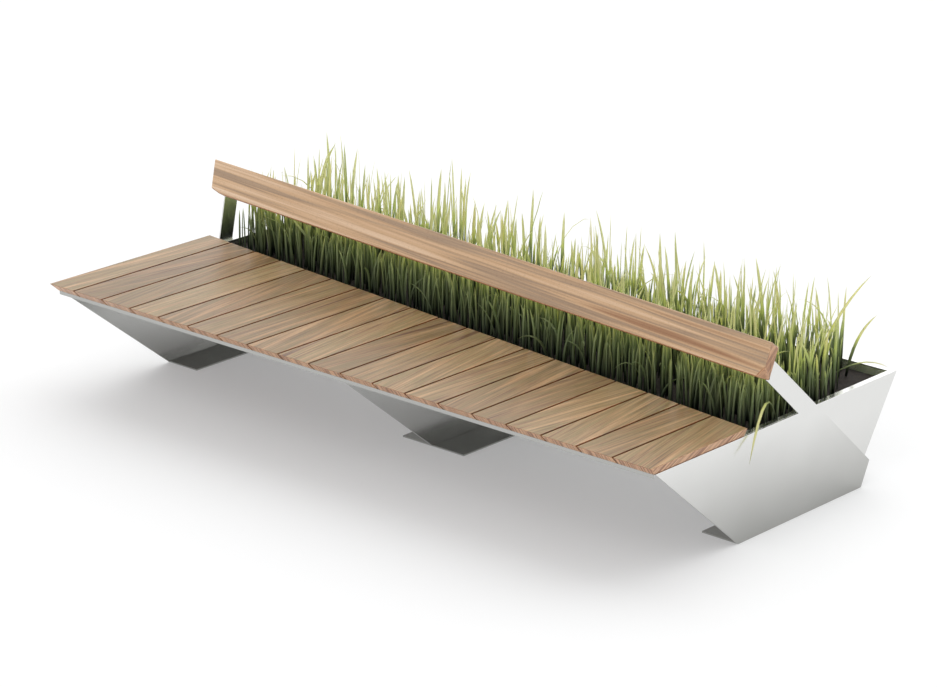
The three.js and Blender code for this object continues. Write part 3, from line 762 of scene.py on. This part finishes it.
# How far blades root from the trough's ends and from the bed's edges, and how far off their column
END_MARGIN = 30 * MM
FRONT_MARGIN = 6 * MM
BACK_MARGIN = 22 * MM
ROOT_SCATTER = 6 * MM
# Length of the bare right rear corner, and its depth at the end
BARE_CORNER_LENGTH = 170 * MM
BARE_CORNER_DEPTH = 330 * MM
# The bare strip at the left end, and the stretch whose blades make room for it
BARE_STRIP = 75 * MM
CROWDED_LENGTH = 260 * MM

# Tufts: their width, how far from the middle they reach, how they slant over the bed, and their heights
TUFT_WIDTH = 90 * MM
TUFT_REACH = 1.8
TUFT_SLANT = 0.4
TUFT_HEIGHTS = (0.72, 1.12)
# The higher this power, the fewer free blades come near the greatest height
TALL_POWER = 2.4

# How far behind the plank's top free blades root, and how far from the plank the others' tips stay
FREE_DISTANCE = 30 * MM
TIPS_BELOW_PLANK = 12 * MM
TIPS_VARY = 30 * MM
TIPS_BEFORE_BACK = 15 * MM
TIPS_BELOW_TOP = 20 * MM
# Room behind and below the plank, and how far below it blades begin to be held behind it
BEHIND_PLANK = 9 * MM
BELOW_PLANK = 8 * MM
HELD_BELOW = 40 * MM
# How far blades lean past the last roots, and where and by what share they are drawn in at the back
END_LEAN = 18 * MM
WALL_MARGIN = 30 * MM
HELD_IN = 0.8

# Root, pull and tip of four long blades' curves at the right end, in millimetres, and the way each faces
STRAY_CURVES = (
    ((1440, 50, 370), (1470, -50, 660), (1512, -200, 325)),
    ((1310, 500, 400), (1400, 600, 505), (1470, 680, 440)),
    ((1300, 420, 385), (1340, 480, 660), (1490, 520, 835)),
    ((1330, 610, 385), (1350, 620, 560), (1430, 650, 640)),
)
STRAY_FACING = (0.28, 2.42, 0.73, 0.73)
STRAY_WIDTH = 12 * MM
STRAY_TONE = 0.85
STRAY_OWN_SHARE = 0.8


class PlankBack:
    """The plane of the plank's back face, and the heights of the plank."""

    def __init__(self):
        face = widest_face("backrest_plank", Vector((0, 1, 0)))
        self.normal = face.normal.copy()
        self.place = face.center.copy()
        low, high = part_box("backrest_plank")
        self.low_z, self.high_z = low.z, high.z

    def y(self, x, z):
        """How far back the plane is at one place along the bench and one height."""
        slope = self.normal.x * (x - self.place.x) + self.normal.z * (z - self.place.z)
        return self.place.y - slope / self.normal.y

    def z(self, x, y):
        """How high the plane is over one place of the bed."""
        slope = self.normal.x * (x - self.place.x) + self.normal.y * (y - self.place.y)
        return self.place.z - slope / self.normal.z


class Trough:
    """The bed's corners, the rim's height, the back wall's place and how far to either end blades root."""

    def __init__(self):
        self.corners = corners_at("planting_soil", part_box("planting_soil")[1].z)
        back_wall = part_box("planter_back_wall")[1]
        self.rim = back_wall.z
        self.back = back_wall.y
        self.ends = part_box("planter_end_wall_right")[1].x - END_MARGIN


def clump_span(node):
    """A clump's own stretch of the trough, from the straight ends of its slice of turf, and its ground."""
    points = [vertex.co for vertex in NODES[node].data.vertices]
    ground = min(point.z for point in points)
    turf = [point.x for point in points if point.z < ground + SAME_LEVEL]
    return min(turf), max(turf), ground


def plant_roots(node, spacing, trough, rng):
    """Where a clump's blades root: a jittered grid over its part of the bed."""
    first, last, ground = clump_span(node)
    left, right = trough.corners["front_left"].x, trough.corners["front_right"].x
    columns = round((last - first) / spacing)
    roots = []
    for column in range(columns):
        x = first + (column + rng.random()) * (last - first) / columns
        front_edge, back_edge = front_and_back(trough.corners, (x - left) / (right - left))
        front = front_edge.y + FRONT_MARGIN
        back = back_edge.y - BACK_MARGIN
        bare = max(0.0, (x - trough.ends + BARE_CORNER_LENGTH) / BARE_CORNER_LENGTH)
        back -= BARE_CORNER_DEPTH * bare
        rows = round((back - front) / spacing)
        for row in range(rows):
            scattered = x + rng.normal(0, ROOT_SCATTER)
            roots.append((scattered, front + (row + rng.random()) * (back - front) / rows, ground))
    roots = np.array(roots)
    along = roots[:, 0]
    along[:] = np.clip(along, -trough.ends, trough.ends)
    along += BARE_STRIP * np.maximum(0, 1 - (along + trough.ends) / CROWDED_LENGTH)
    return roots


def blade_tops(roots, free, settings, plank, rim, rng):
    """How high blades reach: in tufts above the rim where they are free, else up to the plank."""
    x, y = roots[:, 0], roots[:, 1]
    knots = np.arange(-TUFT_REACH, TUFT_REACH, TUFT_WIDTH)
    tuft = np.interp(x + TUFT_SLANT * y, knots, rng.uniform(*TUFT_HEIGHTS, len(knots)))
    share = np.minimum(1, rng.random(len(roots)) ** TALL_POWER * tuft)
    above = rim + settings.shortest * tuft + (settings.tallest - settings.shortest) * share
    below = plank.low_z - TIPS_BELOW_PLANK - TIPS_VARY * rng.random(len(roots))
    against = np.minimum(plank.z(x, y - TIPS_BEFORE_BACK), plank.high_z - TIPS_BELOW_TOP)
    return np.where(free, above, np.maximum(below, against))


def blade_spines(roots, lengths, rng):
    """The middle line of every blade: it leaves its root at a tilt and bends further as it rises."""
    count = len(roots)
    tilt = np.abs(rng.normal(0, BLADE_TILT, count))
    bend = np.abs(rng.normal(0, BLADE_BEND, count))
    bowed = rng.random(count) < BOWED_SHARE
    bend = np.where(bowed, rng.uniform(*BOWED_BEND, count), bend)
    lean_way = rng.uniform(0, 2 * math.pi, count)
    power = rng.uniform(*BEND_POWER, count)
    spines = np.zeros((count, SEGMENTS + 1, 3))
    spines[:, 0] = roots
    for step in range(SEGMENTS):
        angle = tilt + bend * ((step + 0.5) / SEGMENTS) ** power
        forward = [np.sin(angle) * np.cos(lean_way), np.sin(angle) * np.sin(lean_way), np.cos(angle)]
        spines[:, step + 1] = spines[:, step] + np.stack(forward, 1) * (lengths / SEGMENTS)[:, None]
    return spines


def keep_clear(spines, plank, cropped, trough):
    """Holds cropped blades below the plank, the others behind it and all of them between the arms."""
    x, y, z = (spines[:, :, i] for i in range(3))
    behind = plank.y(x, np.clip(z, plank.low_z, plank.high_z)) + BEHIND_PLANK
    beside = ~cropped[:, None] & (z > plank.low_z - HELD_BELOW)
    y[:] = np.where(beside, np.maximum(y, behind), y)
    z[:] = np.where(cropped[:, None], np.minimum(z, plank.low_z - BELOW_PLANK), z)
    x[:] = np.clip(x, -trough.ends - END_LEAN, trough.ends + END_LEAN)
    # Blades that bow over the back wall go only a fifth of the way that they would
    y -= np.maximum(0, y - (trough.back - WALL_MARGIN)) * HELD_IN


def grow_clump(node, settings, plank, trough, rng):
    """One clump's blades: free behind the plank, and up to its back or its lower edge elsewhere."""
    roots = plant_roots(node, settings.spacing, trough, rng)
    count = len(roots)
    free = roots[:, 1] > plank.y(roots[:, 0], plank.high_z) + FREE_DISTANCE
    tops = blade_tops(roots, free, settings, plank, trough.rim, rng)
    spines = blade_spines(roots, tops - roots[:, 2], rng)
    keep_clear(spines, plank, tops < plank.low_z, trough)
    return {
        "spines": spines,
        "widths": settings.width * rng.uniform(*BLADE_WIDTHS, count),
        "facing": rng.uniform(0, math.pi, count),
        "tones": np.clip(rng.normal(*BLADE_TONES, count), 0, 1),
        "own_shares": np.where(free, FREE_OWN_SHARE, 0.0),
    }


def stray_blades():
    """Four long blades at the right end: two over the rim, and two that lean out."""
    count = len(STRAY_CURVES)
    curves = np.array(STRAY_CURVES) * MM
    root, pull, tip = (curves[:, i][:, None, :] for i in range(3))
    t = SHARES[None, :, None]
    return {
        "spines": (1 - t) ** 2 * root + 2 * t * (1 - t) * pull + t ** 2 * tip,
        "widths": np.full(count, STRAY_WIDTH),
        "facing": np.array(STRAY_FACING),
        "tones": np.full(count, STRAY_TONE),
        "own_shares": np.full(count, STRAY_OWN_SHARE),
    }


def blade_points(spines, widths, facing):
    """The points of thin three-sided blades: rings of three along their middle lines, and then their tips."""
    count = len(spines)
    outline = FOOT_WIDTH + (1 - FOOT_WIDTH) * np.minimum(1, SHARES / FULL_FROM)
    outline *= (1 - SHARES ** 5) ** 0.7
    along = np.gradient(spines, axis=1)
    along /= np.linalg.norm(along, axis=2, keepdims=True)
    side = np.stack([np.cos(facing), np.sin(facing), np.zeros(count)], 1)[:, None, :]
    ridge = np.cross(along, np.broadcast_to(side, along.shape))
    ridge /= np.maximum(np.linalg.norm(ridge, axis=2, keepdims=True), 1e-6)
    half = (widths[:, None] * outline[None, :] / 2)[:, :, None]
    rings = [spines + side * half, spines - side * half, spines + ridge * half * RIDGE_HEIGHT]
    rings = np.stack(rings, 2)[:, :-1]
    return np.concatenate([rings.reshape(count, -1, 3), spines[:, -1:]], 1)


def blade_triangles():
    """The triangles of one blade, by the numbers of its points: its sides, its tip and its closed foot."""
    triangles = []
    for ring in range(SEGMENTS - 1):
        for i in range(SIDES):
            a, b = ring * SIDES + i, ring * SIDES + (i + 1) % SIDES
            triangles += [(a, b, b + SIDES), (a, b + SIDES, a + SIDES)]
    last = (SEGMENTS - 1) * SIDES
    triangles += [(last + i, last + (i + 1) % SIDES, POINTS - 1) for i in range(SIDES)]
    triangles.append((2, 1, 0))
    return np.array(triangles)


def triangle_mesh(name, points, triangles):
    """A mesh from its points and the numbers of each triangle's points."""
    mesh = bpy.data.meshes.new(name)
    mesh.vertices.add(len(points))
    mesh.vertices.foreach_set("co", points.reshape(-1).astype(np.float32))
    mesh.loops.add(triangles.size)
    mesh.loops.foreach_set("vertex_index", triangles.reshape(-1).astype(np.int32))
    mesh.polygons.add(len(triangles))
    mesh.polygons.foreach_set("loop_start", np.arange(0, triangles.size, 3, dtype=np.int32))
    mesh.update(calc_edges=True)
    mesh.validate()
    return mesh


def blades_mesh(name, blades, ground, reach):
    """A mesh of blades, with what their colour follows: how high each point has risen, and a blade's tone."""
    points = blade_points(blades["spines"], blades["widths"], blades["facing"])
    starts = np.arange(len(points)) * POINTS
    triangles = (blade_triangles()[None] + starts[:, None, None]).reshape(-1, 3)
    mesh = triangle_mesh(name, points.reshape(-1, 3), triangles)
    # A point has risen by its height over the bed, and by its share of its own blade. By height, the low dark
    # colour is partly painted shade, where the plank and the blades shade one another.
    own = np.append(np.repeat(SHARES[:-1], SIDES), 1.0)[None, :]
    weight = blades["own_shares"][:, None]
    rise = (1 - weight) * (points[:, :, 2] - ground) / reach + weight * own
    write_attribute(mesh, "rise", "FLOAT", "POINT", np.clip(rise, 0, 1))
    write_attribute(mesh, "tone", "FLOAT", "POINT", np.repeat(blades["tones"], POINTS))
    mesh.shade_smooth()
    return mesh


class BENCH_OT_grass(bpy.types.Operator):
    """Grows the grass, blade by blade, over the whole trough"""

    bl_idname = "bench.grass"
    bl_label = "Grass"

    def execute(self, context):
        settings = context.scene.bench_grass
        material = living_grass(settings)
        plank, trough = PlankBack(), Trough()
        rng = np.random.default_rng(SEEDS["grass"])
        clumps = nodes_named("grass_clump_")
        for name in clumps:
            blades = grow_clump(name, settings, plank, trough, rng)
            if name == clumps[-1]:
                strays = stray_blades()
                blades = {key: np.concatenate([blades[key], strays[key]]) for key in blades}
            ground = clump_span(name)[2]
            mesh = blades_mesh("grass_" + name[-1], blades, ground, trough.rim + settings.tallest - ground)
            dress(object_from("tall_grass_" + name[-1], mesh), material, name)
        return {"FINISHED"}


# Stage

# The camera worked out from the photograph: lens in millimetres, place in metres, tilt and turn in degrees
LENS = 129.3
SENSOR = 36
EYE = (7.9916, -8.8687, 4.4737)
EYE_TILT = 71.027
EYE_TURN = 41.879
SIGHT = 200
# The floor lies a little below the flanges, and its paint is this much lifted where it is seen
FLOOR_LEVEL = -0.5 * MM
FLOOR_LIFT = 0.21
WORLD_LIGHT = 0.65
# Each lamp's side, how many degrees wide it is, and its strength
LAMPS = {
    "back_light": (Vector((-0.12, 0.62, 0.78)), 90, 1.15),
    "front_light": (Vector((0.1, -0.88, 0.46)), 70, 0.85),
}
LAMP_DISTANCE = 5


def set_camera(scene):
    """The photograph's view: from the front right, a little above, through a long lens."""
    camera = bpy.data.cameras.new("camera")
    camera.sensor_width = SENSOR
    camera.lens = LENS
    camera.clip_end = SIGHT
    eye = object_from("camera", camera)
    eye.location = EYE
    eye.rotation_euler = (math.radians(EYE_TILT), 0, math.radians(EYE_TURN))
    scene.camera = eye


def floor_mesh(size):
    """The floor, just below the bench."""
    bm = bmesh.new()
    bmesh.ops.create_grid(bm, x_segments=2, y_segments=2, size=size / 2)
    mesh = mesh_from("studio_floor", bm)
    mesh.transform(Matrix.Translation((0, 0, FLOOR_LEVEL)))
    return mesh


def sight_ray(tree):
    """1 for rays that show the surroundings themselves: seen, mirrored or looked at through something."""
    path = add_node(tree, "LightPath")
    seen = add_node(tree, "Math", {
        0: path.outputs["Is Camera Ray"], 1: path.outputs["Is Glossy Ray"],
    }, operation="MAXIMUM")
    return add_node(tree, "Math", {0: seen, 1: path.outputs["Is Transmission Ray"]}, operation="MAXIMUM")


def pale_floor(settings):
    """A painted studio floor, rolled: matt and pale, lifted to white where nothing shades it."""
    material, tree = new_material("Studio floor, matt paint")
    place = add_node(tree, "TexCoord").outputs["Object"]
    patch_size = 400 * MM
    nap = add_node(tree, "TexNoise", {"Vector": place, "Scale": 1 / patch_size, "Detail": 2.0})
    faint = add_node(tree, "MapRange", {"Value": nap, "To Max": 0.02})
    pale, worn_pale = opaque(settings.floor), linear("#dedede")
    colour = add_node(tree, "Mix", {FACTOR: faint, UNDER: pale, OVER: worn_pale}, **BLEND)
    paint = add_node(tree, "BsdfDiffuse", {"Color": colour})
    # The floor lights the bench less than it shows, so that the underside stays dark
    worn = add_node(tree, "BsdfDiffuse", {"Color": linear("#e6e6e6")})
    lift = add_node(tree, "Emission", {"Color": linear("#fbfdff"), "Strength": FLOOR_LIFT})
    lifted = add_node(tree, "AddShader", {0: paint, 1: lift})
    both = add_node(tree, "MixShader", {0: sight_ray(tree), 1: worn, 2: lifted})
    add_node(tree, "OutputMaterial", {"Surface": both})
    return material


def set_world(scene):
    """A white studio: even soft light, and plain white where it is seen or mirrored."""
    world = bpy.data.worlds.new("studio")
    scene.world = world
    world.use_nodes = True
    tree = world.node_tree
    tree.nodes.clear()
    light = add_node(tree, "Background", {"Color": linear("#ffffff"), "Strength": WORLD_LIGHT})
    seen = add_node(tree, "Background", {"Color": linear("#ffffff"), "Strength": 1.0})
    both = add_node(tree, "MixShader", {0: sight_ray(tree), 1: light, 2: seen})
    add_node(tree, "OutputWorld", {"Surface": both})


def broad_lamp(name, source, spread, strength):
    """A far lamp, as broad as its spread in degrees, on the source's side."""
    lamp = bpy.data.lights.new(name, "SUN")
    lamp.angle = math.radians(spread)
    lamp.energy = strength
    holder = object_from(name, lamp)
    holder.location = source * LAMP_DISTANCE
    holder.rotation_euler = source.to_track_quat("Z", "Y").to_euler()


class BENCH_OT_stage(bpy.types.Operator):
    """Sets the camera, the pale floor and the soft studio light"""

    bl_idname = "bench.stage"
    bl_label = "Stage"

    def execute(self, context):
        settings = context.scene.bench_stage
        scene = context.scene
        scene.view_settings.view_transform = "Standard"
        set_camera(scene)
        floor = object_from("studio_floor", floor_mesh(settings.size))
        floor.data.materials.append(pale_floor(settings))
        set_world(scene)
        for name, lamp in LAMPS.items():
            broad_lamp(name, *lamp)
        return {"FINISHED"}


# The add-on

class BENCH_PT_panel(bpy.types.Panel):
    """Lists the bench's pieces in the sidebar"""

    bl_idname = "BENCH_PT_panel"
    bl_label = "Bench with planter"
    bl_space_type = "VIEW_3D"
    bl_region_type = "UI"
    bl_category = "Bench"

    def draw(self, context):
        for operator in OPERATORS:
            self.layout.operator(operator.bl_idname)
        for key, kind in SETTINGS.items():
            column = self.layout.column()
            for name in kind.__annotations__:
                column.prop(getattr(context.scene, key), name)


SETTINGS = {
    "bench_slats": SlatSettings,
    "bench_plank": PlankSettings,
    "bench_steel": SteelSettings,
    "bench_soil": SoilSettings,
    "bench_grass": GrassSettings,
    "bench_stage": StageSettings,
}
OPERATORS = (
    BENCH_OT_stage, BENCH_OT_slats, BENCH_OT_plank, BENCH_OT_steelwork, BENCH_OT_fasteners, BENCH_OT_fill,
    BENCH_OT_grass,
)
CLASSES = (*SETTINGS.values(), *OPERATORS, BENCH_PT_panel)


def register():
    for kind in CLASSES:
        bpy.utils.register_class(kind)
    for key, kind in SETTINGS.items():
        setattr(bpy.types.Scene, key, bpy.props.PointerProperty(type=kind))


def unregister():
    for key in SETTINGS:
        delattr(bpy.types.Scene, key)
    for kind in reversed(CLASSES):
        bpy.utils.unregister_class(kind)


def main():
    """Registers and runs the add-on."""
    register()
    bpy.ops.bench.stage()
    bpy.ops.bench.slats()
    bpy.ops.bench.plank()
    bpy.ops.bench.steelwork()
    bpy.ops.bench.fasteners()
    bpy.ops.bench.fill()
    bpy.ops.bench.grass()


if __name__ == "__main__":
    main()
